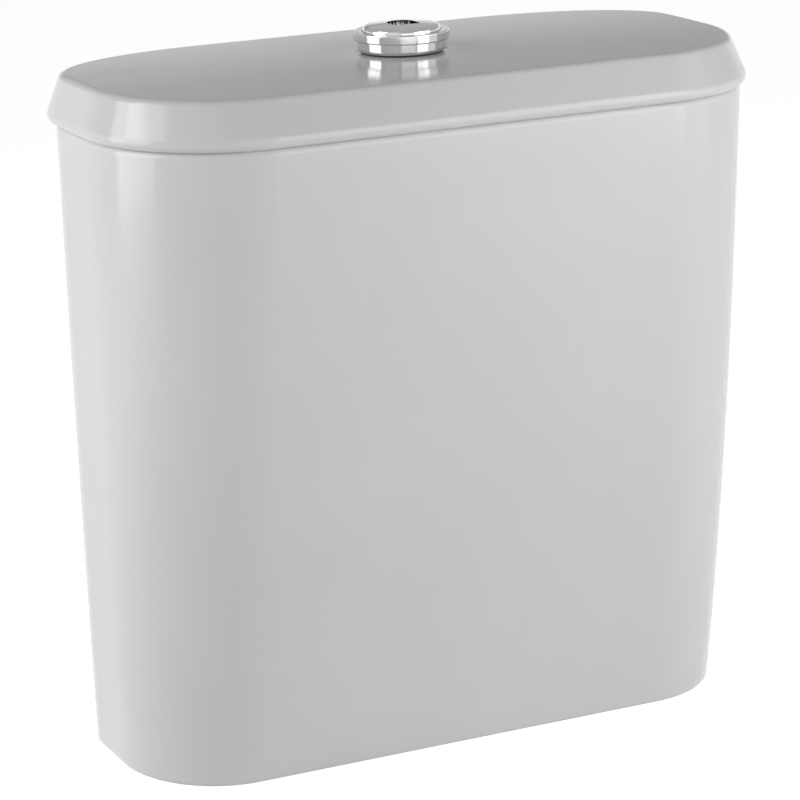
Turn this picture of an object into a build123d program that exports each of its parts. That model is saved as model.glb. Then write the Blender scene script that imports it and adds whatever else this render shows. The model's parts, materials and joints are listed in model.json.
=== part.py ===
from build123d import *
import os
from math import cos, hypot, pi, radians, sin, tan

os.makedirs("parts", exist_ok=True)

# Toilet cistern with a lift-off lid and a two-part push button.
# Millimetres. The origin is the middle of the footprint, on the surface that the
# skirt rim stands on. X runs along the width, the front faces -Y and +Z is up.

# Fits between pieces
slide_gap = 0.3        # between pieces that move past each other
close_gap = 0.1        # round a piece that sits in its bore
loose_gap = 1.0        # round a shank in a clearance hole
cut_over = 2.0         # how far a cutting solid runs past the face it opens
quarter_turn = 90.0    # degrees

# China tank, outside
tank_width = 372.0
tank_depth = 184.0
tank_height = 349.0
side_taper = 8.0       # each side comes in this far by the foot
front_taper = 37.0     # the front leans back this far by the foot
front_corner_width = 72.0
front_corner_depth = 78.0
back_corner_width = 102.0
back_corner_depth = 67.0
tank_wall = 9.0
floor_thickness = 10.0
skirt_height = 42.0    # from the foot rim up to the underside of the floor
rim_round = 3.0
foot_round = 2.5
back_ground = 0.1      # taken off the back to leave it truly flat
foot_corner_share = 0.78
section_height_shares = (0.0, 0.35, 0.7, 1.0)
section_taper_shares = (1.0, 0.51, 0.19, 0.0)

# China lid
lid_height = 26.0
lid_side_overhang = 5.0
lid_front_overhang = 6.0
lid_back_overhang = 10.0
lid_side_lean = 10.0   # the lid draws in this far from bottom to top
lid_front_lean = 15.0
lid_back_lean = 10.0
lid_crown = 1.5        # the middle of the top stands this far over its edges
lid_bottom_round = 4.5
lid_top_round = 4.0
lid_plate = 10.0
lid_lip_width = 5.0
lid_lip_depth = 7.0
lid_lip_gap = 3.0
lid_spot_depth = 0.2   # flat ground round the button hole

# Button in the middle of the lid
bezel_radius = 25.5
bezel_ring_height = 5.0
collar_radius = 24.0
collar_height = 6.0
collar_round = 2.0
bezel_edge_round = 0.7
bezel_web = 1.5
sleeve_radius = 19.5
sleeve_bore = 17.5
bezel_gasket_height = 0.8
bezel_gasket_radius = 22.0
bezel_nut_radius = 29.0
bezel_nut_height = 7.0
bezel_nut_grips = 6
bezel_nut_grip_radius = 4.0
cap_radius = 21.0
cap_disc = 2.5
cap_boss = 5.0
cap_inset = 0.6        # the caps' upright edge ends this far under the top of the bezel
cap_rise = 4.4         # the domed top stands this far over its upright edge
cap_crown = 1.2        # part of that rise inside the shoulder
cap_split_gap = 0.7
cap_wave = 1.8         # how far the split swings each way
cap_shoulder_round = 3.0
scoop_width = 15.0
scoop_depth = 5.0
scoop_length = 16.0
button_travel = 6.0
plunger_plate = 3.0
stem_radius = 3.0
stem_x = -8.0
stem_y = 8.5
stem_below_guide = 8.0
spring_length = 20.0
spring_coil_radius = 4.3
spring_wire = 0.9
spring_turns = 7
guide_height = 4.0
rod_radius = 2.2
rod_tip_radius = 2.6

# Flush valve: the fixed base in the floor
tail_radius = 29.8
tail_bore = 25.5
tail_end_height = 10.0     # lower end of the tail above the foot rim
washer_height = 3.0
base_flange_radius = 44.0
base_flange_height = 4.0
seat_radius = 31.0
seat_bore = 28.0
seat_draft = 0.8
seat_height = 7.0
base_ring_radius = 41.0
base_ring_inner = 36.0
base_ring_height = 5.0
window_height = 22.0
base_posts = 4
base_post_width = 7.0
base_post_setback = 0.5
flush_nut_radius = 41.0
flush_nut_height = 12.0
flush_nut_lugs = 6
flush_nut_lug_radius = 4.5
coupling_radius = 47.0
coupling_inner = 30.2
coupling_height = 22.0
coupling_taper = 6.0

# Flush valve: cage, head, tube and float
cage_inner = 30.5
cage_outer = 36.0
cage_ring_height = 5.0
cage_column_angle = 20.0
cage_columns = 4
cage_mid_share = 0.38
head_radius = 38.0
head_height = 5.0
tube_radius = 16.0
tube_wall = 2.2
head_under_guide = 59.5    # top of the head plate below the button's stem guide
tube_stand = 3.0       # tube end over the head plate when the valve is shut
pivot_x = 7.0
pivot_over_head = 24.0
ear_gap_y = 17.0       # inner face of each pivot ear from the middle
ear_width = 3.0
ear_length = 10.0
pin_radius = 1.6
push_arm = 15.0
lift_arm = 30.0
lever_width = 7.0
lever_thickness = 4.0
lever_boss_radius = 4.5
lever_nose_radius = 3.0
lever_end = 4.0
hook_strip = 3.0
hook_width = 8.0
hook_over_nose = 10.0
hook_ledge = 3.0
hook_ledge_length = 12.0
hook_guide_margin = 3.0
collar_clamp_radius = 20.0
collar_clamp_height = 7.0
collar_under_head = 18.0
seal_radius = 33.0
seal_height = 3.0
foot_hub_radius = 19.0
foot_flange_height = 3.0
foot_hub_height = 12.0
seal_nut_radius = 25.0
seal_nut_height = 4.0
full_float_radius = 28.0
full_float_height = 50.0
full_float_drop = 22.0     # top of the float below the clamp of the lift strip
float_wall = 2.0
half_float_length = 24.0
half_float_width = 26.0
half_float_height = 40.0
half_float_drop = 45.0

# Fill valve with its bottom inlet
float_side_gap = 2.0      # between the fill valve's float and the side wall
shank_radius = 10.4
shank_thread_mean = 9.9   # the thread's mean radius, where the back nut sits on it
shank_bore = 6.0
shank_end_height = 8.0
shank_flange_radius = 17.0
shank_flange_height = 4.0
shank_collar_radius = 13.0
shank_collar_height = 7.0
inlet_nut_radius = 19.0
inlet_nut_height = 10.0
inlet_nut_lugs = 6
inlet_nut_lug_radius = 2.9
column_radius = 13.0
column_bore = 10.0
lock_ring_radius = 17.0
lock_ring_height = 9.0
fill_head_height = 22.0
fill_head_radius = 17.0
fill_top_gap = 57.0       # top of the fill valve below the rim of the tank
valve_seat_height = 4.0
valve_seat_wall = 2.0
diaphragm_height = 2.0
diaphragm_radius = 15.0
fill_cap_height = 8.0
fill_cap_radius = 18.5
fill_cap_top = 3.0
fill_cap_chamfer = 2.0
fill_pivot_back = 9.0     # pivot of the arm behind the middle of the head
fill_pivot_share = 0.5
arm_reach = 42.0
arm_bar_width = 3.0
arm_bar_height = 5.0
arm_gap_y = 19.5
arm_rod_radius = 2.0
arm_pin_radius = 1.8
arm_pin_depth = 8.0       # how far each pin reaches in from the inside of the fork
fill_travel = 18.0
float_radius = 28.0
float_height = 56.0
float_top_gap = 24.0      # float below the valve head at the bottom of its travel
link_rod_radius = 1.6
link_eye_wall = 2.0
link_eye_thickness = 4.0
link_rod_drop = 16.0      # lower end of the rod below the top of the float
clip_length = 12.0
clip_height = 8.0
clip_width = 10.0
filter_length = 14.0
filter_wall = 0.8
filter_slots = 6
filter_slot_width = 1.2
filter_slot_share = 0.3   # part of the length that is left whole at the mouth

# Bolts that hold the tank on the pan
bolt_spacing = 155.0
bolt_radius = 4.0
bolt_thread_mean = 3.6 # the thread's mean radius, where the nuts sit on it
bolt_end_height = 3.0
bolt_hole_radius = 5.5
cone_base_radius = 12.0
cone_top_radius = 8.0
cone_height = 5.0
plate_washer_radius = 10.0
plate_washer_height = 1.5
bolt_head_radius = 7.5
bolt_head_height = 5.5
clamp_nut_height = 6.5
wing_nut_radius = 7.0
wing_nut_height = 8.0
wing_span = 16.0
wing_thickness = 3.0
wing_setback = 4.0     # the wings start this far under the nut's seat
wing_drop = 2.0        # and end this far below the nut

# Places that follow from the sizes above
lid_width = tank_width + 2 * lid_side_overhang
lid_depth = tank_depth + lid_front_overhang + lid_back_overhang
tank_back = lid_depth / 2 - lid_back_overhang
tank_front = lid_front_overhang - lid_depth / 2
floor_top = skirt_height + floor_thickness
lid_top = tank_height + lid_height
lid_seat = lid_top - lid_spot_depth
collar_z = lid_seat + bezel_gasket_height
ring_z = collar_z + collar_height
bezel_top = ring_z + bezel_ring_height
cap_edge = bezel_top - cap_inset
cap_top = cap_edge + cap_rise
cap_under = cap_edge - cap_disc
boss_under = cap_under - cap_boss
plate_under = boss_under - plunger_plate
guide_top = plate_under - spring_length
guide_under = guide_top - guide_height
stem_end = guide_under - stem_below_guide
lid_under = lid_top - lid_plate
flange_z = floor_top + washer_height
seat_z = flange_z + base_flange_height
seal_z = seat_z + seat_height
cage_z = seat_z + window_height + base_ring_height
head_top = guide_under - head_under_guide
head_z = head_top - head_height
pivot_z = head_top + pivot_over_head
tube_top = head_top + tube_stand
press_angle = button_travel / push_arm * 180 / pi
rest_angle = press_angle / 2
nose_x = pivot_x + lift_arm * cos(radians(rest_angle))
nose_z = pivot_z - lift_arm * sin(radians(rest_angle))
ledge_z = nose_z + lever_nose_radius + slide_gap
hook_x = nose_x + lever_nose_radius + hook_over_nose - hook_strip
collar_top = head_z - collar_under_head
collar_low = collar_top - collar_clamp_height
half_float_top = collar_top - half_float_drop
full_float_top = collar_low - full_float_drop
foot_inside = tank_width / 2 - side_taper - tank_wall
inlet_x = float_radius + float_side_gap - foot_inside
inlet_nut_low = skirt_height - inlet_nut_height
shank_flange_z = floor_top + washer_height
shank_top = shank_flange_z + shank_flange_height + shank_collar_height
fill_head_top = tank_height - fill_top_gap - fill_cap_height
fill_head_z = fill_head_top - fill_head_height
fill_pivot_z = fill_head_z + fill_head_height * fill_pivot_share
fill_pivot_x = inlet_x - fill_pivot_back
fill_angle = fill_travel / arm_reach * 180 / pi
link_x = fill_pivot_x + arm_reach * cos(radians(fill_angle / 2))
link_z = fill_pivot_z - arm_reach * sin(radians(fill_angle / 2))
link_slot_radius = arm_rod_radius + fill_pivot_x + arm_reach - link_x + slide_gap
float_top = fill_head_z - float_top_gap
arm_pin_inner = arm_gap_y - arm_pin_depth
bolt_seat = floor_top + cone_height + plate_washer_height
clamp_nut_top = skirt_height - plate_washer_height
clamp_nut_low = clamp_nut_top - clamp_nut_height
wing_nut_top = clamp_nut_low - plate_washer_height
wing_nut_z = wing_nut_top - wing_nut_height
bolt_places = ((-bolt_spacing / 2, 0), (bolt_spacing / 2, 0))


def disc(radius, z0, z1, at=(0, 0)):
    """Upright cylinder from height z0 to z1."""
    low = Align.MIN
    solid = Cylinder(radius, z1 - z0, align=(Align.CENTER, Align.CENTER, low))
    return Pos(at[0], at[1], z0) * solid


def ring(outer, inner, z0, z1, at=(0, 0)):
    """Upright ring with a bore."""
    return disc(outer, z0, z1, at) - disc(inner, z0 - cut_over, z1 + cut_over, at)


def block(x0, x1, y0, y1, z0, z1):
    """Box between two corners."""
    solid = Box(x1 - x0, y1 - y0, z1 - z0, align=(Align.MIN, Align.MIN, Align.MIN))
    return Pos(x0, y0, z0) * solid


def spindle(radius, x, z, y0, y1):
    """Cylinder along Y from y0 to y1."""
    solid = Cylinder(radius, y1 - y0, align=(Align.CENTER, Align.CENTER, Align.MIN))
    return Pos(x, y0, z) * Rot(-90, 0, 0) * solid


def prism(radius, sides, z0, z1, at=(0, 0)):
    """Upright hexagon or other regular prism, across-corners radius."""
    face = Plane.XY.offset(z0) * Pos(at[0], at[1]) * RegularPolygon(radius, sides)
    return extrude(face, z1 - z0)


def plan(z, half_width, front, back, front_corner, back_corner):
    """Outline of the china: straight front and back, elliptical corners."""
    front_x = half_width - front_corner[0]
    front_y = front + front_corner[1]
    back_x = half_width - back_corner[0]
    back_y = back - back_corner[1]
    corners = (((front_x, front_y), front_corner), ((back_x, back_y), back_corner),
               ((-back_x, back_y), back_corner), ((-front_x, front_y), front_corner))
    arcs = []
    for i, (middle, radii) in enumerate(corners):
        start = (i - 1) * quarter_turn
        arc = EllipticalCenterArc(middle, radii[0], radii[1], start_angle=start, arc_size=quarter_turn)
        arcs.append(arc)
    edges = []
    for arc, following in zip(arcs, arcs[1:] + arcs[:1]):
        edges = edges + [arc.edge(), Line(arc @ 1, following @ 0).edge()]
    return Pos(0, 0, z) * Face(Wire(edges))


def tank_section(height_share, taper_share, inset):
    """Outline of the tank at one height, drawn in by inset on all sides."""
    corner = 1 - (1 - foot_corner_share) * taper_share
    front_corner = (front_corner_width * corner - inset, front_corner_depth * corner - inset)
    back_corner = (back_corner_width * corner - inset, back_corner_depth * corner - inset)
    half_width = tank_width / 2 - side_taper * taper_share - inset
    front = tank_front + front_taper * taper_share + inset
    back = tank_back - inset
    return plan(tank_height * height_share, half_width, front, back, front_corner, back_corner)


def lid_section(z, lean_share):
    """Outline of the lid, drawn in by a share of its lean."""
    side = lid_side_overhang - lid_side_lean * lean_share
    front = lid_side_overhang - lid_front_lean * lean_share
    back = lid_side_overhang - lid_back_lean * lean_share
    front_y = lid_front_lean * lean_share - lid_depth / 2
    back_y = lid_depth / 2 - lid_back_lean * lean_share
    front_corner = (front_corner_width + side, front_corner_depth + front)
    back_corner = (back_corner_width + side, back_corner_depth + back)
    return plan(z, tank_width / 2 + side, front_y, back_y, front_corner, back_corner)


def make_tank():
    """Open-topped china box on a hollow skirt, with holes in its floor."""
    shares = list(zip(section_height_shares, section_taper_shares))
    outer = loft([tank_section(h, t, 0) for h, t in shares])
    outer = fillet(outer.edges().filter_by_position(Axis.Z, tank_height, tank_height), rim_round)
    foot_edges = outer.edges().filter_by_position(Axis.Z, 0, 0)
    outer = fillet(foot_edges, foot_round)
    inner = loft([tank_section(h, t, tank_wall) for h, t in shares])
    half_width = tank_width / 2
    high_over = tank_height + cut_over
    slab = block(-half_width, half_width, tank_front, tank_back, skirt_height, floor_top)
    tank = outer - (inner - slab)
    low = skirt_height - cut_over
    high = floor_top + cut_over
    tank = tank - disc(tail_radius + loose_gap, low, high)
    tank = tank - disc(shank_radius + loose_gap, low, high, (inlet_x, 0))
    for place in bolt_places:
        tank = tank - disc(bolt_hole_radius, low, high, place)
    flat = tank_back - back_ground
    return tank - block(-half_width, half_width, flat, tank_back + cut_over, -cut_over, high_over)


def make_lid():
    """Overhanging china lid with a locating lip and the button hole."""
    body = loft([lid_section(tank_height, 0), lid_section(lid_top, 1)], ruled=True)
    half_depth = lid_depth / 2
    crown_radius = (half_depth ** 2 + lid_crown ** 2) / (2 * lid_crown)
    crown = Cylinder(crown_radius, 2 * lid_width)
    crown = Pos(0, 0, lid_top - crown_radius) * Rot(0, 90, 0) * crown
    body = body & crown
    top_edges = body.edges().filter_by(lambda e: e.center().Z > lid_top - 2 * lid_crown)
    body = fillet(top_edges, lid_top_round)
    low_edges = body.edges().filter_by_position(Axis.Z, tank_height, tank_height)
    body = fillet(low_edges, lid_bottom_round)
    lip_inset = tank_wall + lid_lip_gap
    body = body + mouth_solid(lip_inset, tank_height - lid_lip_depth, tank_height)
    hollow_low = tank_height - lid_lip_depth - cut_over
    body = body - mouth_solid(lip_inset + lid_lip_width, hollow_low, lid_under)
    body = body - disc(sleeve_radius + loose_gap, lid_under - cut_over, lid_top + cut_over)
    return body - disc(collar_radius + loose_gap, lid_seat, lid_top + cut_over)


def mouth_solid(inset, z0, z1):
    """Upright solid with the outline of the tank's mouth, drawn in by inset."""
    return Pos(0, 0, z0 - tank_height) * extrude(tank_section(1, 0, inset), z1 - z0)


def make_bezel():
    """Stepped round bezel with its threaded sleeve."""
    collar = disc(collar_radius, collar_z, ring_z)
    collar = fillet(collar.edges().filter_by_position(Axis.Z, collar_z, collar_z), collar_round)
    head = disc(bezel_radius, ring_z, bezel_top)
    head = fillet(head.edges().filter_by(GeomType.CIRCLE), bezel_edge_round)
    solid = collar + head + disc(sleeve_radius, guide_under, collar_z + bezel_web)
    solid = solid - disc(cap_radius + slide_gap, collar_z + bezel_web, bezel_top + cut_over)
    return solid - disc(sleeve_bore, guide_under - cut_over, bezel_top)


def make_bezel_nut():
    """Ring nut with grip lugs under the lid."""
    z0 = lid_under - bezel_nut_height
    solid = disc(bezel_nut_radius - bezel_nut_grip_radius, z0, lid_under)
    for spot in PolarLocations(bezel_nut_radius - bezel_nut_grip_radius, bezel_nut_grips):
        solid = solid + Pos(0, 0, z0) * spot * disc(bezel_nut_grip_radius, 0, bezel_nut_height)
    return solid - disc(sleeve_radius + close_gap, z0 - cut_over, lid_under + cut_over)


def wave_face(side):
    """Everything on one side of the waved split line, as a flat face."""
    shift = side * cap_split_gap / 2
    reach = bezel_radius
    left = ThreePointArc((-reach, shift), (-reach / 2, shift + cap_wave), (0, shift))
    right = ThreePointArc((0, shift), (reach / 2, shift - cap_wave), (reach, shift))
    far = side * 2 * bezel_radius
    edge = Polyline((reach, shift), (reach, far), (-reach, far), (-reach, shift))
    return Face(Wire([left.edge(), right.edge()] + list(edge.edges())))


def half_space(z0, z1, side):
    """Everything on one side of the waved split, between two heights."""
    return extrude(Pos(0, 0, z0) * wave_face(side), z1 - z0, dir=(0, 0, 1))


def half_disc(radius, z0, z1, side):
    """Part of a disc on one side of the waved split."""
    return disc(radius, z0, z1) & half_space(z0, z1, side)


def scoop():
    """Finger hollow in the middle of the button: flat front and round back."""
    z0 = cap_top - scoop_depth
    radius = scoop_width / 2
    middle = scoop_length / 2 - radius
    arch = disc(radius, z0, cap_top + cut_over, (0, middle))
    return arch + block(-radius, radius, -scoop_length / 2, middle, z0, cap_top + cut_over)


def make_cap(side):
    """One chromed half of the button, with its boss."""
    crown_radius = (cap_radius ** 2 + cap_crown ** 2) / (2 * cap_crown)
    crown = Pos(0, 0, cap_top - crown_radius) * Sphere(crown_radius)
    dome = disc(cap_radius, cap_under, cap_top) & crown
    rim = dome.edges().filter_by(lambda e: e.center().Z > cap_edge)
    dome = fillet(rim, cap_shoulder_round)
    boss = disc(sleeve_bore - slide_gap, boss_under, cap_under)
    return (dome + boss - scoop()) & half_space(boss_under, cap_top, side)


def make_plunger(side):
    """Plastic plate under a cap, with its guided stem."""
    plate = half_disc(sleeve_bore - slide_gap, plate_under, boss_under, side)
    return plate + disc(stem_radius, stem_end, plate_under, (stem_x, side * stem_y))


def make_rod(side):
    """Push rod under a plunger's stem, with a round tip over its lever."""
    place = (stem_x, side * stem_y)
    lever_top = pivot_z + push_arm * tan(radians(rest_angle))
    lever_top = lever_top + lever_thickness / 2 / cos(radians(rest_angle))
    tip_z = lever_top + slide_gap + rod_tip_radius
    rod = disc(rod_radius, tip_z, stem_end, place)
    return rod + Pos(place[0], place[1], tip_z) * Sphere(rod_tip_radius)


def make_spring(side):
    """Return spring round a stem: one unbroken helical wire."""
    wire = spring_wire / 2
    height = spring_length - spring_wire - 2 * close_gap
    path = Helix(height / spring_turns, height, spring_coil_radius)
    start = Plane(origin=path @ 0, z_dir=path % 0)
    coil = sweep(start * Circle(wire), path, is_frenet=True)
    return Pos(stem_x, side * stem_y, guide_top + wire + close_gap) * coil


def spring_gap():
    """Least distance between the surfaces of neighbouring turns."""
    height = spring_length - spring_wire - 2 * close_gap
    steps = 24
    points = []
    for i in range(spring_turns * steps + 1):
        turn = i / steps
        angle = 2 * pi * turn
        place = (spring_coil_radius * cos(angle), spring_coil_radius * sin(angle))
        points.append((place[0], place[1], height / spring_turns * turn))
    least = height
    for i, a in enumerate(points):
        for b in points[i + steps // 2:]:
            least = min(least, hypot(a[0] - b[0], a[1] - b[1], a[2] - b[2]))
    return least - spring_wire


def make_guide():
    """Disc in the foot of the sleeve that guides both stems."""
    solid = disc(sleeve_bore - close_gap, guide_under, guide_top)
    hole = disc(stem_radius + slide_gap, guide_under - cut_over, guide_top + cut_over)
    for side in (-1, 1):
        solid = solid - Pos(stem_x, side * stem_y, 0) * hole
    return solid


def make_flush_base():
    """Threaded outlet tail, flange, raised seat and the windowed ring above."""
    solid = disc(tail_radius, tail_end_height, flange_z) + disc(base_flange_radius, flange_z, seat_z)
    seat = Cone(seat_radius, seat_radius - seat_draft, seat_height)
    solid = solid + Pos(0, 0, (seat_z + seal_z) / 2) * seat
    solid = solid - disc(tail_bore, tail_end_height - cut_over, seal_z + cut_over)
    solid = solid - disc(seat_bore, seat_z, seal_z + cut_over)
    ring_low = seat_z + window_height
    solid = solid + ring(base_ring_radius, base_ring_inner, ring_low, cage_z)
    half = base_post_width / 2
    inner = base_ring_inner + base_post_setback
    outer = base_ring_radius - base_post_setback
    post = block(inner, outer, -half, half, seat_z, ring_low)
    for i in range(base_posts):
        solid = solid + Rot(0, 0, 360 / base_posts * i) * post
    return solid


def make_flush_nut():
    """Large plastic back nut with lugs, under the floor."""
    z0 = skirt_height - flush_nut_height
    body_radius = flush_nut_radius - flush_nut_lug_radius
    solid = disc(body_radius, z0, skirt_height)
    for spot in PolarLocations(body_radius, flush_nut_lugs):
        solid = solid + Pos(0, 0, z0) * spot * disc(flush_nut_lug_radius, 0, flush_nut_height)
    return solid - disc(tail_radius + close_gap, z0 - cut_over, skirt_height + cut_over)


def make_coupling():
    """Soft ring between the back nut and the pan."""
    z1 = skirt_height - flush_nut_height
    z0 = z1 - coupling_height
    solid = disc(coupling_radius, z0, z1)
    low = solid.edges().filter_by_position(Axis.Z, z0, z0)
    solid = chamfer(low, coupling_taper)
    return solid - disc(coupling_inner, z0 - cut_over, z1 + cut_over)


def make_cage():
    """Open cage over the seat that the float and tube run in."""
    mid = cage_z + (head_z - cage_z) * cage_mid_share
    solid = ring(cage_outer, cage_inner, cage_z, head_z)
    solid = solid + ring(base_ring_radius, cage_inner, cage_z, cage_z + cage_ring_height)
    open_angle = 360 / cage_columns - cage_column_angle
    bays = ((cage_z + cage_ring_height, mid), (mid + cage_ring_height, head_z - cage_ring_height))
    on_axis = (Align.NONE, Align.NONE, Align.MIN)
    for z0, z1 in bays:
        window = Cylinder(base_ring_radius, z1 - z0, arc_size=open_angle, align=on_axis)
        for i in range(cage_columns):
            turn = 360 / cage_columns * i - open_angle / 2
            solid = solid - Pos(0, 0, z0) * Rot(0, 0, turn) * window
    return solid


def hook_slots():
    """Guide slots that the two lift strips run in."""
    x0 = hook_x - slide_gap
    x1 = hook_x + hook_strip + slide_gap
    half = hook_width / 2 + slide_gap
    slot = block(x0, x1, -half, half, head_z - cut_over, head_top + cut_over)
    return Pos(0, stem_y, 0) * slot + Pos(0, -stem_y, 0) * slot


def make_head():
    """Plate on the cage with the tube guide, the strip guides and the pivot ears."""
    solid = disc(head_radius, head_z, head_top)
    tab_end = hook_x + hook_strip + hook_guide_margin
    tab_half = stem_y + hook_width / 2 + hook_guide_margin
    solid = solid + block(0, tab_end, -tab_half, tab_half, head_z, head_top)
    solid = solid - disc(tube_radius + slide_gap, head_z - cut_over, head_top + cut_over)
    solid = solid - hook_slots()
    half = ear_length / 2
    for side in (-1, 1):
        y0, y1 = sorted((side * ear_gap_y, side * (ear_gap_y + ear_width)))
        ear = block(pivot_x - half, pivot_x + half, y0, y1, head_z, pivot_z)
        ear = ear + spindle(half, pivot_x, pivot_z, y0, y1)
        solid = solid + ear
    pin_hole = spindle(pin_radius + close_gap, pivot_x, pivot_z, -head_radius, head_radius)
    return solid - pin_hole


def make_lever(side):
    """Rocker that turns a push on one end into a lift at the other."""
    y = side * stem_y
    half = lever_width / 2
    thick = lever_thickness / 2
    bar = block(pivot_x - push_arm - lever_end, pivot_x + lift_arm, y - half, y + half,
                pivot_z - thick, pivot_z + thick)
    nose = spindle(lever_nose_radius, pivot_x + lift_arm, pivot_z, y - half, y + half)
    ends = sorted((side * slide_gap, side * (ear_gap_y - slide_gap)))
    boss = spindle(lever_boss_radius, pivot_x, pivot_z, ends[0], ends[1])
    pin_hole = spindle(pin_radius + close_gap, pivot_x, pivot_z, -ear_gap_y, ear_gap_y)
    lever = bar + nose + boss - pin_hole
    turn = Pos(pivot_x, 0, pivot_z) * Rot(0, rest_angle, 0) * Pos(-pivot_x, 0, -pivot_z)
    return turn * lever


def make_lever_pin():
    """Pin that both rockers turn on."""
    end = ear_gap_y + ear_width
    return spindle(pin_radius, pivot_x, pivot_z, -end, end)


def hook_strip_solid(side, low_z):
    """Upright strip with a ledge over the nose of a rocker."""
    y = side * stem_y
    half = hook_width / 2
    top = ledge_z + hook_ledge
    strip = block(hook_x, hook_x + hook_strip, y - half, y + half, low_z, top)
    ledge = block(hook_x - hook_ledge_length, hook_x, y - half, y + half, ledge_z, top)
    return strip + ledge


def make_lift_hook():
    """Clamp on the overflow tube with the strip that the full lever lifts."""
    solid = disc(collar_clamp_radius, collar_low, collar_top)
    half = hook_width / 2
    solid = solid + block(0, hook_x, stem_y - half, stem_y + half, collar_low, collar_top)
    solid = solid + hook_strip_solid(1, collar_low)
    return solid - disc(tube_radius + close_gap, collar_low - cut_over, collar_top + cut_over)


def make_half_float():
    """Small open-bottomed float beside the cage, on the half lever's strip."""
    low = half_float_top - half_float_height
    y0 = -stem_y - half_float_width / 2
    y1 = y0 + half_float_width
    x1 = hook_x + half_float_length
    solid = block(hook_x, x1, y0, y1, low, half_float_top)
    solid = solid - block(hook_x + float_wall, x1 - float_wall, y0 + float_wall, y1 - float_wall,
                          low - cut_over, half_float_top - float_wall)
    return solid + hook_strip_solid(-1, half_float_top - float_wall)


def make_tube():
    """Overflow tube, which is also the stem of the flush valve."""
    return ring(tube_radius, tube_radius - tube_wall, seal_z - seal_nut_height, tube_top)


def make_valve_foot():
    """Hub on the lower end of the tube that holds the seal from above."""
    bore = tube_radius + close_gap
    hub = ring(foot_hub_radius, bore, seal_z - seal_nut_height, seal_z + seal_height + foot_hub_height)
    flange_low = seal_z + seal_height
    return hub + ring(seal_radius - close_gap, bore, flange_low, flange_low + foot_flange_height)


def make_full_float():
    """Ring float on the tube, open below."""
    low = full_float_top - full_float_height
    bore = tube_radius + close_gap
    solid = ring(full_float_radius, bore, low, full_float_top)
    hollow_top = full_float_top - float_wall
    return solid - ring(full_float_radius - float_wall, bore + float_wall, low - cut_over, hollow_top)


def make_shank():
    """Threaded inlet tail with its flange and the collar that carries the column."""
    flange_top = shank_flange_z + shank_flange_height
    solid = disc(shank_radius, shank_end_height, inlet_nut_low)
    solid = solid + disc(shank_thread_mean, inlet_nut_low, shank_flange_z)
    solid = solid + disc(shank_flange_radius, shank_flange_z, flange_top)
    solid = solid + disc(shank_collar_radius, flange_top, shank_top)
    solid = solid - disc(shank_bore, shank_end_height - cut_over, shank_top + cut_over)
    return Pos(inlet_x, 0, 0) * solid


def make_shank_washer():
    """Rubber washer between the inlet's flange and the floor."""
    bore = shank_thread_mean + close_gap
    return ring(shank_flange_radius, bore, floor_top, shank_flange_z, (inlet_x, 0))


def make_inlet_nut():
    """Plastic back nut with lugs under the floor."""
    z0 = inlet_nut_low
    body_radius = inlet_nut_radius - inlet_nut_lug_radius
    solid = disc(body_radius, z0, skirt_height)
    for spot in PolarLocations(body_radius, inlet_nut_lugs):
        solid = solid + Pos(0, 0, z0) * spot * disc(inlet_nut_lug_radius, 0, inlet_nut_height)
    solid = solid - disc(shank_thread_mean + close_gap, z0 - cut_over, skirt_height + cut_over)
    return Pos(inlet_x, 0, 0) * solid


def make_lock_ring():
    """Ring nut that clamps the column on the shank's collar."""
    base = shank_flange_z + shank_flange_height
    bore = shank_collar_radius + close_gap
    return ring(lock_ring_radius, bore, base, base + lock_ring_height, (inlet_x, 0))


def make_column():
    """Riser tube of the fill valve."""
    return ring(column_radius, column_bore, shank_top, fill_head_z, (inlet_x, 0))


def make_fill_head():
    """Valve housing on the column, with its inner seat and the pivot ears."""
    at = (inlet_x, 0)
    top = fill_head_top + cut_over
    solid = disc(fill_head_radius, fill_head_z, fill_head_top, at)
    ear_end = arm_gap_y - slide_gap
    solid = solid + spindle(arm_bar_height, fill_pivot_x, fill_pivot_z, -ear_end, ear_end)
    solid = solid - disc(shank_bore, fill_head_z - cut_over, top, at)
    seat_outer = shank_bore + valve_seat_wall
    solid = solid - ring(diaphragm_radius, seat_outer, fill_head_top - valve_seat_height, top, at)
    for side in (-1, 1):
        y0, y1 = sorted((side * arm_pin_inner, side * (arm_gap_y + arm_bar_width)))
        solid = solid - spindle(arm_pin_radius + close_gap, fill_pivot_x, fill_pivot_z, y0, y1)
    return solid


def make_diaphragm():
    """Rubber diaphragm on the housing."""
    return disc(diaphragm_radius, fill_head_top, fill_head_top + diaphragm_height, (inlet_x, 0))


def make_fill_cap():
    """Turned cap over the diaphragm."""
    at = (inlet_x, 0)
    base = fill_head_top
    top = base + fill_cap_height
    solid = disc(fill_cap_radius, base, top, at)
    solid = chamfer(solid.edges().filter_by_position(Axis.Z, top, top), fill_cap_chamfer)
    solid = solid - disc(diaphragm_radius + close_gap, base - cut_over, base + diaphragm_height, at)
    return solid - disc(shank_bore, base, top - fill_cap_top, at)


def make_arm():
    """Fork that the float link swings, either side of the housing."""
    half = arm_bar_height / 2
    outer = arm_gap_y + arm_bar_width
    solid = spindle(arm_rod_radius, arm_reach, 0, -outer, outer)
    for side in (-1, 1):
        y0, y1 = sorted((side * arm_gap_y, side * outer))
        solid = solid + block(0, arm_reach + arm_rod_radius, y0, y1, -half, half)
        solid = solid + spindle(arm_bar_height, 0, 0, y0, y1)
    solid = solid - spindle(arm_pin_radius + close_gap, 0, 0, -outer - cut_over, outer + cut_over)
    return Pos(fill_pivot_x, 0, fill_pivot_z) * Rot(0, fill_angle / 2, 0) * solid


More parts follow.
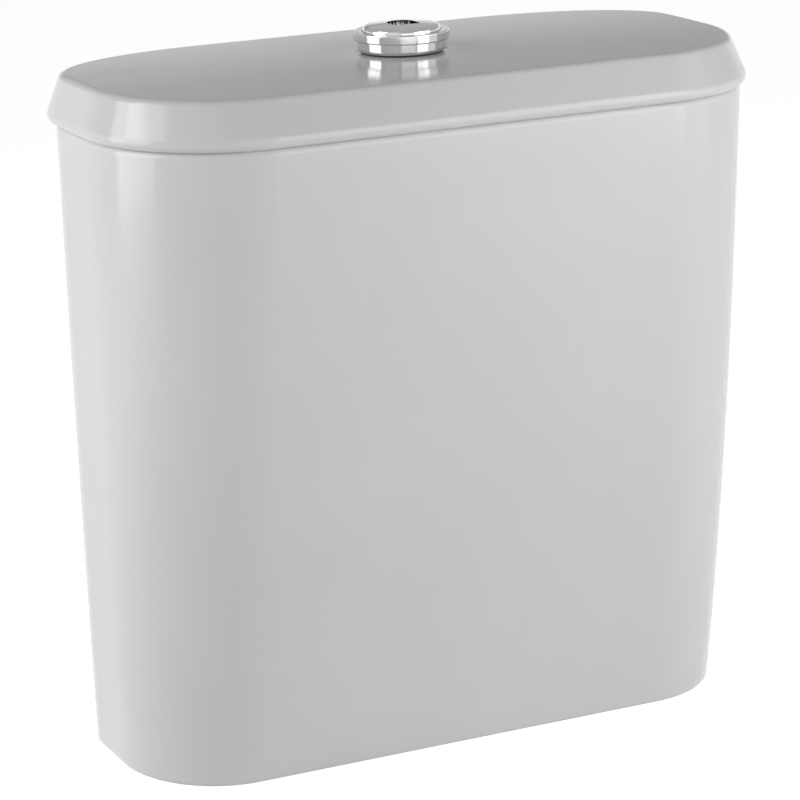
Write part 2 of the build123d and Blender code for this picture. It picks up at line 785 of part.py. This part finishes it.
def make_arm_pins():
    """Two short pins that carry the fork on the housing."""
    outer = arm_gap_y + arm_bar_width
    inner = arm_pin_inner + close_gap
    pins = [spindle(arm_pin_radius, fill_pivot_x, fill_pivot_z, inner, outer),
            spindle(arm_pin_radius, fill_pivot_x, fill_pivot_z, -outer, -inner)]
    return Compound(children=pins)


def make_fill_float():
    """Cup float that slides on the column, open below, with the lug of its clip."""
    at = (inlet_x, 0)
    low = float_top - float_height
    bore = column_radius + slide_gap
    outer = float_radius - float_wall
    inner = bore + float_wall
    solid = ring(float_radius, bore, low, float_top, at)
    return solid - ring(outer, inner, low - cut_over, float_top - float_wall, at)


def make_float_clip():
    """Clip on the side of the cup that grips the link rod."""
    x0 = inlet_x + float_radius - float_wall
    x1 = link_x + clip_length / 2
    half = clip_width / 2
    low = float_top - clip_height
    high = float_top + cut_over
    solid = block(x0, x1, -half, half, low, float_top)
    solid = solid - disc(float_radius + close_gap, low - cut_over, high, (inlet_x, 0))
    return solid - disc(link_rod_radius + close_gap, low - cut_over, high, (link_x, 0))


def make_float_link():
    """Rod from the clip up to a wide eye round the fork's cross bar."""
    half = link_eye_thickness / 2
    rod = disc(link_rod_radius, float_top - link_rod_drop, link_z - link_slot_radius, (link_x, 0))
    eye = spindle(link_slot_radius + link_eye_wall, link_x, link_z, -half, half)
    return rod + eye - spindle(link_slot_radius, link_x, link_z, -half - cut_over, half + cut_over)


def make_filter():
    """Slotted thimble in the mouth of the inlet."""
    outer = shank_bore - close_gap
    top = shank_end_height + filter_length
    solid = disc(outer, shank_end_height, top)
    solid = solid - disc(outer - filter_wall, shank_end_height - cut_over, top - filter_wall)
    half = filter_slot_width / 2
    slot_low = shank_end_height + filter_length * filter_slot_share
    slot = block(0, outer + cut_over, -half, half, slot_low, top - 2 * filter_wall)
    for i in range(filter_slots):
        solid = solid - Rot(0, 0, 360 / filter_slots * i) * slot
    return Pos(inlet_x, 0, 0) * solid


def at_both_bolts(solid):
    """The same fastener at both bolt places."""
    return Compound(children=[Pos(x, y, 0) * solid for x, y in bolt_places])


def make_bolt():
    """Hexagon bolt down through the floor, its bare thread at the lower end."""
    thread = disc(bolt_radius, bolt_end_height, wing_nut_z - wing_drop)
    shank = disc(bolt_thread_mean, wing_nut_z - wing_drop, bolt_seat)
    return thread + shank + prism(bolt_head_radius, 6, bolt_seat, bolt_seat + bolt_head_height)


def make_cone_washer():
    """Rubber cone that seals the bolt hole."""
    cone = Cone(cone_base_radius, cone_top_radius, cone_height)
    solid = Pos(0, 0, floor_top + cone_height / 2) * cone
    return solid - disc(bolt_radius + close_gap, floor_top - cut_over, bolt_seat)


def plain_washer(z0):
    """Flat metal washer on a bolt."""
    return ring(plate_washer_radius, bolt_radius + close_gap, z0, z0 + plate_washer_height)


def make_clamp_nut():
    """Hexagon nut that clamps the bolt to the floor."""
    nut = prism(bolt_head_radius, 6, clamp_nut_low, clamp_nut_top)
    return nut - disc(bolt_thread_mean + close_gap, clamp_nut_low - cut_over, clamp_nut_top + cut_over)


def make_wing_nut():
    """Wing nut spun up the bolt, taken off again to clamp the pan's deck."""
    half = wing_thickness / 2
    low = wing_nut_z - wing_drop
    wing = block(-wing_span, wing_span, -half, half, low, wing_nut_top - wing_setback)
    wing = fillet(wing.edges().filter_by(Axis.Y), half)
    solid = disc(wing_nut_radius, wing_nut_z, wing_nut_top) + wing
    return solid - disc(bolt_thread_mean + close_gap, low - cut_over, wing_nut_top + cut_over)


def write(name, solid):
    """Save one sub-part under its own name."""
    solid.label = name
    export_step(solid, "parts/" + name + ".step")


write("tank", make_tank())
write("lid", make_lid())
write("button_bezel", make_bezel())
write("bezel_gasket", ring(bezel_gasket_radius, sleeve_radius + close_gap, lid_seat, collar_z))
write("bezel_nut", make_bezel_nut())
write("button_guide", make_guide())
for name, side in (("full", 1), ("half", -1)):
    write(name + "_button_cap", make_cap(side))
    write(name + "_plunger", make_plunger(side))
    write(name + "_rod", make_rod(side))
    write(name + "_spring", make_spring(side))
    write(name + "_lever", make_lever(side))
write("flush_valve_base", make_flush_base())
write("flush_base_washer", ring(base_flange_radius, tail_radius + close_gap, floor_top, flange_z))
write("flush_back_nut", make_flush_nut())
write("coupling_gasket", make_coupling())
write("flush_cage", make_cage())
write("flush_head", make_head())
write("lever_pin", make_lever_pin())
write("lift_hook", make_lift_hook())
write("half_float", make_half_float())
write("overflow_tube", make_tube())
write("valve_foot", make_valve_foot())
write("valve_seal", ring(seal_radius, foot_hub_radius + close_gap, seal_z, seal_z + seal_height))
write("seal_nut", ring(seal_nut_radius, foot_hub_radius + close_gap, seal_z - seal_nut_height, seal_z))
write("full_float", make_full_float())
write("fill_shank", make_shank())
write("fill_shank_washer", make_shank_washer())
write("fill_back_nut", make_inlet_nut())
write("fill_lock_ring", make_lock_ring())
write("fill_column", make_column())
write("fill_head", make_fill_head())
write("fill_diaphragm", make_diaphragm())
write("fill_cap", make_fill_cap())
write("fill_arm", make_arm())
write("fill_arm_pins", make_arm_pins())
write("fill_float", make_fill_float())
write("float_clip", make_float_clip())
write("float_link", make_float_link())
write("inlet_filter", make_filter())
write("fixing_bolts", at_both_bolts(make_bolt()))
write("bolt_cone_washers", at_both_bolts(make_cone_washer()))
write("bolt_head_washers", at_both_bolts(plain_washer(floor_top + cone_height)))
write("under_floor_washers", at_both_bolts(plain_washer(clamp_nut_top)))
write("clamp_nuts", at_both_bolts(make_clamp_nut()))
write("wing_nuts", at_both_bolts(make_wing_nut()))
write("deck_washers", at_both_bolts(plain_washer(wing_nut_top)))
print("least gap between spring turns, mm:", round(spring_gap(), 2))
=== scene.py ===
import json
from math import cos, radians, sin

import bpy
from mathutils import Matrix, Vector


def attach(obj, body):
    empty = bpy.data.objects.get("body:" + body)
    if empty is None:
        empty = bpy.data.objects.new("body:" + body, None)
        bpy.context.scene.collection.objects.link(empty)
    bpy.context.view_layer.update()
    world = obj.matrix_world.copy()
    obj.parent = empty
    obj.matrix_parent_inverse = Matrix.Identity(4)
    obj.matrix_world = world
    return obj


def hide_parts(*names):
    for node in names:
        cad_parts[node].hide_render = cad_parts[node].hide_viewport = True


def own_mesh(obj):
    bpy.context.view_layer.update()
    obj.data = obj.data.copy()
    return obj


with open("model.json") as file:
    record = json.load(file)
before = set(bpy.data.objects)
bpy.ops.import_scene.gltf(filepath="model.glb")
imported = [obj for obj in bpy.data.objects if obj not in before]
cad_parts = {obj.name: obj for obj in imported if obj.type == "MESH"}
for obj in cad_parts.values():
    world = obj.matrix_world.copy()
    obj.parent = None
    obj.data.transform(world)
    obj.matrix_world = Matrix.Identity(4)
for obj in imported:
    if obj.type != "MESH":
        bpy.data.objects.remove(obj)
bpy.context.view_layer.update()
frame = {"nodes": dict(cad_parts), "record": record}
scene = bpy.context.scene
scene.view_settings.view_transform = "Standard"

# Camera, lengths in metres and angles in degrees
camera_azimuth = -24.776
camera_elevation = 15.439
camera_roll = -1.739
camera_distance = 1.7737
camera_target = (-0.00745, 0.0, 0.18229)
camera_lens = 145.33
camera_sensor = 36.0
camera_reach = 50.0

# Lights: azimuth and elevation of the side it shines from, distance, width, height, power in watts
lights = {
    "left_side": (-98, 12, 1.3, 0.8, 1.0, 7.3),
    "left_high": (-90, 38, 1.3, 0.6, 0.5, 2.2),
    "left_front_high": (-50, 35, 1.4, 0.8, 0.8, 0.7),
    "front": (-8, 12, 2.2, 1.4, 1.2, 3.4),
    "right_front": (29, 12, 1.2, 0.6, 1.2, 4.9),
    "right_side": (50, 14, 1.2, 0.8, 1.2, 2.4),
    "right_near": (20, 12, 0.9, 0.4, 0.9, 0.75),
    "back": (175, 8, 1.7, 1.2, 1.0, 1.2),
}
# Lights that mirrors leave out
unmirrored = ("right_near", "back")
ambient_colour = (0.9, 0.92, 0.95, 1.0)
ambient_strength = 0.04
# Sine of the height at which the white walls end and the grey ceiling begins
wall_top = 0.08
ceiling_edge = 0.2
ceiling_tone = (0.48, 0.48, 0.48)
floor_radius = 6.0
floor_tone = (0.6, 0.6, 0.6, 1.0)
floor_roughness = 0.9
floor_glow = 0.92

# Detail of the noise, and where on it the dark tone ends and the light one begins
patch_detail = 3
grain_detail = 2
dark_share = 0.3
light_share = 0.7

# Finishes: dark tone, light tone, least and most roughness, metallic, size of the tone's
# patches, size and height of the surface's grain, and its stretch
finishes = {
    "china": ((0.8, 0.8, 0.795), (0.83, 0.83, 0.825), 0.12, 0.15, 0.0,
              0.09, 0.05, 0.00012, (1, 1, 1)),
    "chrome": ((0.72, 0.72, 0.73), (0.8, 0.8, 0.81), 0.05, 0.09, 1.0,
               0.02, 0.002, 0.000004, (1, 1, 1)),
    "white_plastic": ((0.74, 0.75, 0.74), (0.82, 0.83, 0.82), 0.34, 0.46, 0.0,
                      0.03, 0.0007, 0.00003, (1, 1, 1)),
    "blue_plastic": ((0.03, 0.12, 0.36), (0.05, 0.17, 0.45), 0.32, 0.45, 0.0,
                     0.03, 0.0007, 0.00003, (1, 1, 1)),
    "grey_plastic": ((0.28, 0.29, 0.31), (0.35, 0.36, 0.38), 0.34, 0.48, 0.0,
                     0.03, 0.0007, 0.00003, (1, 1, 1)),
    "rubber": ((0.016, 0.016, 0.017), (0.03, 0.03, 0.031), 0.6, 0.78, 0.0,
               0.012, 0.0009, 0.00006, (1, 1, 1)),
    "stainless": ((0.5, 0.5, 0.51), (0.63, 0.63, 0.64), 0.2, 0.34, 1.0,
                  0.006, 0.0006, 0.00001, (1, 1, 0.08)),
    "zinc": ((0.46, 0.47, 0.48), (0.66, 0.67, 0.69), 0.28, 0.5, 1.0,
             0.004, 0.0009, 0.00002, (1, 1, 1)),
    "brass": ((0.52, 0.35, 0.12), (0.68, 0.49, 0.2), 0.18, 0.32, 1.0,
              0.008, 0.0006, 0.00001, (0.1, 0.1, 1)),
}


def add_noise(nodes, links, vector, size, detail):
    """Noise whose patches are about this size across."""
    noise = nodes.new("ShaderNodeTexNoise")
    noise.inputs["Scale"].default_value = 1 / size
    noise.inputs["Detail"].default_value = detail
    links.new(vector, noise.inputs["Vector"])
    return noise.outputs["Fac"]


def add_stretch(nodes, links, stretch):
    """Object coordinates, squeezed along each axis by its share."""
    coordinates = nodes.new("ShaderNodeTexCoord")
    mapping = nodes.new("ShaderNodeMapping")
    mapping.inputs["Scale"].default_value = stretch
    links.new(coordinates.outputs["Object"], mapping.inputs["Vector"])
    return mapping.outputs["Vector"]


def add_range(nodes, links, value, low, high):
    """A value spread over a range."""
    spread = nodes.new("ShaderNodeMapRange")
    spread.inputs["To Min"].default_value = low
    spread.inputs["To Max"].default_value = high
    links.new(value, spread.inputs["Value"])
    return spread.outputs["Result"]


def add_tones(nodes, links, value, dark, light):
    """A colour between two tones."""
    ramp = nodes.new("ShaderNodeValToRGB")
    ramp.color_ramp.elements[0].position = dark_share
    ramp.color_ramp.elements[0].color = (*dark, 1)
    ramp.color_ramp.elements[1].position = light_share
    ramp.color_ramp.elements[1].color = (*light, 1)
    links.new(value, ramp.inputs["Fac"])
    return ramp.outputs["Color"]


def make_finish(name):
    """The material of one finish, with its own tone patches and surface grain."""
    dark, light, smooth, rough, metallic, patch, grain, height, stretch = finishes[name]
    material = bpy.data.materials.new(name)
    material.use_nodes = True
    nodes, links = material.node_tree.nodes, material.node_tree.links
    surface = nodes["Principled BSDF"]
    surface.inputs["Metallic"].default_value = metallic
    vector = add_stretch(nodes, links, stretch)
    patches = add_noise(nodes, links, vector, patch, patch_detail)
    links.new(add_tones(nodes, links, patches, dark, light), surface.inputs["Base Color"])
    links.new(add_range(nodes, links, patches, smooth, rough), surface.inputs["Roughness"])
    bump = nodes.new("ShaderNodeBump")
    bump.inputs["Distance"].default_value = height
    links.new(add_noise(nodes, links, vector, grain, grain_detail), bump.inputs["Height"])
    links.new(bump.outputs["Normal"], surface.inputs["Normal"])
    return material


def dress_nodes():
    """Every solid takes the finish that the record names for it."""
    made = {name: make_finish(name) for name in finishes}
    for part in frame["record"]["subparts"]:
        for slot in frame["nodes"][part["node"]].material_slots:
            slot.material = made[part["material_slot"]]


def add_springs():
    """The buttons' return springs as copies of the spring nodes, each carried along by its button.
    """
    for side in ("full", "half"):
        node = frame["nodes"][side + "_spring"]
        spring = bpy.data.objects.new(side + "_return_spring", node.data.copy())
        spring.matrix_world = node.matrix_world
        scene.collection.objects.link(spring)
        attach(spring, side + "_button")
        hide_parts(side + "_spring")
        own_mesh(spring)


def side_vector(azimuth, elevation):
    """The direction from the object to a viewer or a light on this side."""
    a, e = radians(azimuth), radians(elevation)
    return Vector((sin(a) * cos(e), -cos(a) * cos(e), sin(e)))


def facing(back, roll=0.0):
    """The turn of a camera or a light whose back points this way."""
    right = Vector((0, 0, 1)).cross(back).normalized()
    up = back.cross(right)
    r = radians(roll)
    right, up = right * cos(r) + up * sin(r), up * cos(r) - right * sin(r)
    return Matrix((right, up, back)).transposed().to_4x4()


def add_camera():
    data = bpy.data.cameras.new("camera")
    data.lens = camera_lens
    data.sensor_width = camera_sensor
    data.clip_end = camera_reach
    camera = bpy.data.objects.new("camera", data)
    scene.collection.objects.link(camera)
    back = side_vector(camera_azimuth, camera_elevation)
    place = Vector(camera_target) + back * camera_distance
    camera.matrix_world = Matrix.Translation(place) @ facing(back, camera_roll)
    scene.camera = camera


def add_light(name, azimuth, elevation, distance, width, height, power):
    data = bpy.data.lights.new(name, "AREA")
    data.shape = "RECTANGLE"
    data.size, data.size_y = width, height
    data.energy = power
    light = bpy.data.objects.new(name, data)
    scene.collection.objects.link(light)
    back = side_vector(azimuth, elevation)
    place = Vector(camera_target) + back * distance
    light.matrix_world = Matrix.Translation(place) @ facing(back)
    light.visible_camera = False
    light.visible_glossy = name not in unmirrored


def add_seen(nodes, links):
    """One for the rays of the camera, of mirrors and of glass, and nothing for the others."""
    ray = nodes.new("ShaderNodeLightPath")
    share = ray.outputs["Is Camera Ray"]
    for kind in ("Is Glossy Ray", "Is Transmission Ray"):
        larger = nodes.new("ShaderNodeMath")
        larger.operation = "MAXIMUM"
        links.new(share, larger.inputs[0])
        links.new(ray.outputs[kind], larger.inputs[1])
        share = larger.outputs["Value"]
    return share


def add_studio(nodes, links):
    """White walls that turn into a greyer ceiling, by the height of the direction."""
    direction = nodes.new("ShaderNodeTexCoord")
    parts = nodes.new("ShaderNodeSeparateXYZ")
    ramp = nodes.new("ShaderNodeValToRGB")
    ramp.color_ramp.elements[0].position = wall_top
    ramp.color_ramp.elements[0].color = (1, 1, 1, 1)
    ramp.color_ramp.elements[1].position = ceiling_edge
    ramp.color_ramp.elements[1].color = (*ceiling_tone, 1)
    links.new(direction.outputs["Generated"], parts.inputs["Vector"])
    links.new(parts.outputs["Z"], ramp.inputs["Fac"])
    return ramp.outputs["Color"]


def add_world():
    """White where it is seen, itself or in a mirror, and a dimmer sky for the light it gives."""
    world = bpy.data.worlds.new("studio")
    world.use_nodes = True
    nodes, links = world.node_tree.nodes, world.node_tree.links
    sky = nodes["Background"]
    sky.inputs["Color"].default_value = ambient_colour
    sky.inputs["Strength"].default_value = ambient_strength
    white = nodes.new("ShaderNodeBackground")
    white.inputs["Strength"].default_value = 1.0
    links.new(add_studio(nodes, links), white.inputs["Color"])
    mix = nodes.new("ShaderNodeMixShader")
    links.new(add_seen(nodes, links), mix.inputs[0])
    links.new(sky.outputs["Background"], mix.inputs[1])
    links.new(white.outputs["Background"], mix.inputs[2])
    links.new(mix.outputs["Shader"], nodes["World Output"].inputs["Surface"])
    scene.world = world


def floor_material():
    """A pale floor that glows a little to the camera and keeps the shadow."""
    material = bpy.data.materials.new("floor")
    material.use_nodes = True
    nodes, links = material.node_tree.nodes, material.node_tree.links
    surface = nodes["Principled BSDF"]
    surface.inputs["Base Color"].default_value = floor_tone
    surface.inputs["Roughness"].default_value = floor_roughness
    glow = nodes.new("ShaderNodeEmission")
    glow.inputs["Strength"].default_value = floor_glow
    dark = nodes.new("ShaderNodeEmission")
    dark.inputs["Strength"].default_value = 0.0
    seen = nodes.new("ShaderNodeMixShader")
    both = nodes.new("ShaderNodeAddShader")
    links.new(add_seen(nodes, links), seen.inputs[0])
    links.new(dark.outputs["Emission"], seen.inputs[1])
    links.new(glow.outputs["Emission"], seen.inputs[2])
    links.new(surface.outputs["BSDF"], both.inputs[0])
    links.new(seen.outputs["Shader"], both.inputs[1])
    links.new(both.outputs["Shader"], nodes["Material Output"].inputs["Surface"])
    return material


def add_floor():
    mesh = bpy.data.meshes.new("floor")
    r = floor_radius
    mesh.from_pydata([(-r, -r, 0), (r, -r, 0), (r, r, 0), (-r, r, 0)], [], [(0, 1, 2, 3)])
    mesh.materials.append(floor_material())
    floor = bpy.data.objects.new("floor", mesh)
    scene.collection.objects.link(floor)


add_camera()
add_world()
add_floor()
for light_name, values in lights.items():
    add_light(light_name, *values)
dress_nodes()
add_springs()
